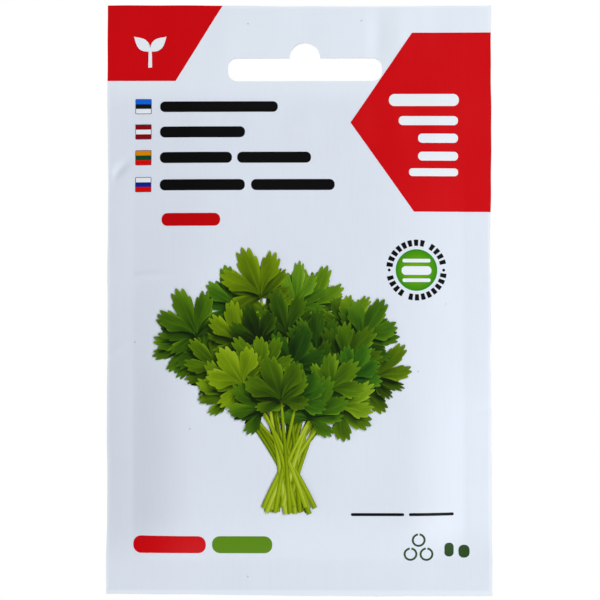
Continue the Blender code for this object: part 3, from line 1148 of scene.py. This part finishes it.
class PACKET_OT_seeds(bpy.types.Operator):
    """Rounds the loose seeds in the pocket and joins them into one piece"""

    bl_idname = "packet.seeds"
    bl_label = "Seeds"

    def execute(self, context):
        heap = bmesh.new()
        for name in SEED_NODES:
            heap.from_mesh(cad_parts[name].data)
        bmesh.ops.remove_doubles(heap, verts=heap.verts, dist=1e-6)
        bmesh.ops.join_triangles(
            heap, faces=heap.faces, angle_face_threshold=np.radians(40), angle_shape_threshold=np.radians(40)
        )
        mesh = bpy.data.meshes.new("seeds")
        heap.to_mesh(mesh)
        heap.free()
        mesh.shade_smooth()
        material = husk_finish(context.scene.packet_seeds)
        piece = add_piece("loose_seeds", mesh, material, "seed_husk", *SEED_NODES)
        rounding = piece.modifiers.new("rounding", "SUBSURF")
        rounding.levels = 1
        rounding.render_levels = 1
        return {"FINISHED"}


def add_floor(stage):
    """A round floor well below the hanging packet, out of the camera's view."""
    across, down = disc_patch((0, 0), FLOOR_RADIUS)
    upper = np.stack([across, down, np.full(across.shape, FLOOR_HEIGHT)], axis=-1)
    points, top, rest = closed_slab(upper, upper - (0, 0, FLOOR_THICKNESS))
    mesh = quad_mesh("floor", points, np.concatenate([top, rest]))
    mesh.materials.append(floor_finish(stage))
    in_scene("floor", mesh)


def add_world(scene, stage):
    """White to the camera, and dimmer as a light."""
    scene.world = bpy.data.worlds.new("white_surroundings")
    scene.world.use_nodes = True
    nodes, links = scene.world.node_tree.nodes, scene.world.node_tree.links
    seen, lighting = nodes["Background"], nodes.new("ShaderNodeBackground")
    path, choice = nodes.new("ShaderNodeLightPath"), nodes.new("ShaderNodeMixShader")
    seen.inputs["Color"].default_value = (1, 1, 1, 1)
    lighting.inputs["Color"].default_value = WORLD_COLOUR
    lighting.inputs["Strength"].default_value = stage.world_light
    links.new(path.outputs["Is Camera Ray"], choice.inputs["Fac"])
    links.new(lighting.outputs["Background"], choice.inputs[1])
    links.new(seen.outputs["Background"], choice.inputs[2])
    links.new(choice.outputs["Shader"], nodes["World Output"].inputs["Surface"])


def add_light(name, middle, offset, power):
    """A square light at an offset from the packet's middle, aimed at it."""
    lamp = bpy.data.lights.new(name, "AREA")
    lamp.shape = "SQUARE"
    lamp.size = LIGHT_SIZE
    lamp.energy = power
    made = in_scene(name, lamp)
    made.location = middle + Vector(offset)
    made.rotation_euler = (-Vector(offset)).to_track_quat("-Z", "Y").to_euler()


def add_camera(scene, middle, lens):
    """Level with the packet's middle and 346 mm before it, looking up by little more than a degree."""
    view = bpy.data.cameras.new("camera")
    view.sensor_width = 36
    view.lens = lens
    made = in_scene("camera", view)
    made.location = Vector((middle.x, 0, middle.z)) + Vector(CAMERA_OFFSET)
    made.rotation_euler = np.radians(CAMERA_TURN)
    scene.camera = made


class PACKET_OT_stage(bpy.types.Operator):
    """Sets the floor, the white surroundings, the soft lights and the camera"""

    bl_idname = "packet.stage"
    bl_label = "Stage"

    def execute(self, context):
        stage = context.scene.packet_stage
        middle = (CAD_LOW + CAD_HIGH) / 2
        add_floor(stage)
        add_world(context.scene, stage)
        for name, offset, power in (
            ("key_light", (0.5, -0.5, 0.5), stage.key_power),
            ("low_light", (0.5, -0.5, -0.45), stage.low_power),
            ("side_light", (-0.88, -0.25, 0), stage.side_power),
            ("rear_left_light", (-0.6, 0.5, 0.4), stage.rear_power),
            ("rear_right_light", (0.5, 0.45, 0.6), stage.rear_power),
        ):
            add_light(name, middle, offset, power)
        add_camera(context.scene, middle, stage.lens)
        context.scene.view_settings.view_transform = "Standard"
        return {"FINISHED"}


class PACKET_PT_pieces(bpy.types.Panel):
    """Shows a button for each step and the settings of its group"""

    bl_label = "Seed packet"
    bl_idname = "PACKET_PT_pieces"
    bl_space_type = "VIEW_3D"
    bl_region_type = "UI"
    bl_category = "Seed packet"

    def draw(self, context):
        layout = self.layout
        for operator, group, _ in STEPS:
            layout.operator(operator.bl_idname)
            if group:
                settings = getattr(context.scene, group)
                for name in settings.__annotations__:
                    layout.prop(settings, name)


STEPS = (
    (PACKET_OT_films, "packet_film", PacketFilmSettings),
    (PACKET_OT_front_print, "packet_print", PacketPrintSettings),
    (PACKET_OT_picture, "packet_picture", PacketPictureSettings),
    (PACKET_OT_back_print, None, None),
    (PACKET_OT_seeds, "packet_seeds", PacketSeedSettings),
    (PACKET_OT_stage, "packet_stage", PacketStageSettings),
)
GROUPS = {name: settings for _, name, settings in STEPS if name}
CLASSES = (*GROUPS.values(), *(step[0] for step in STEPS), PACKET_PT_pieces)


def register():
    for kind in CLASSES:
        bpy.utils.register_class(kind)
    for name, group in GROUPS.items():
        setattr(bpy.types.Scene, name, PointerProperty(type=group))


def unregister():
    for name in GROUPS:
        delattr(bpy.types.Scene, name)
    for kind in reversed(CLASSES):
        bpy.utils.unregister_class(kind)


def main():
    register()
    bpy.ops.packet.films()
    bpy.ops.packet.front_print()
    bpy.ops.packet.picture()
    bpy.ops.packet.back_print()
    bpy.ops.packet.seeds()
    bpy.ops.packet.stage()


if __name__ == "__main__":
    main()
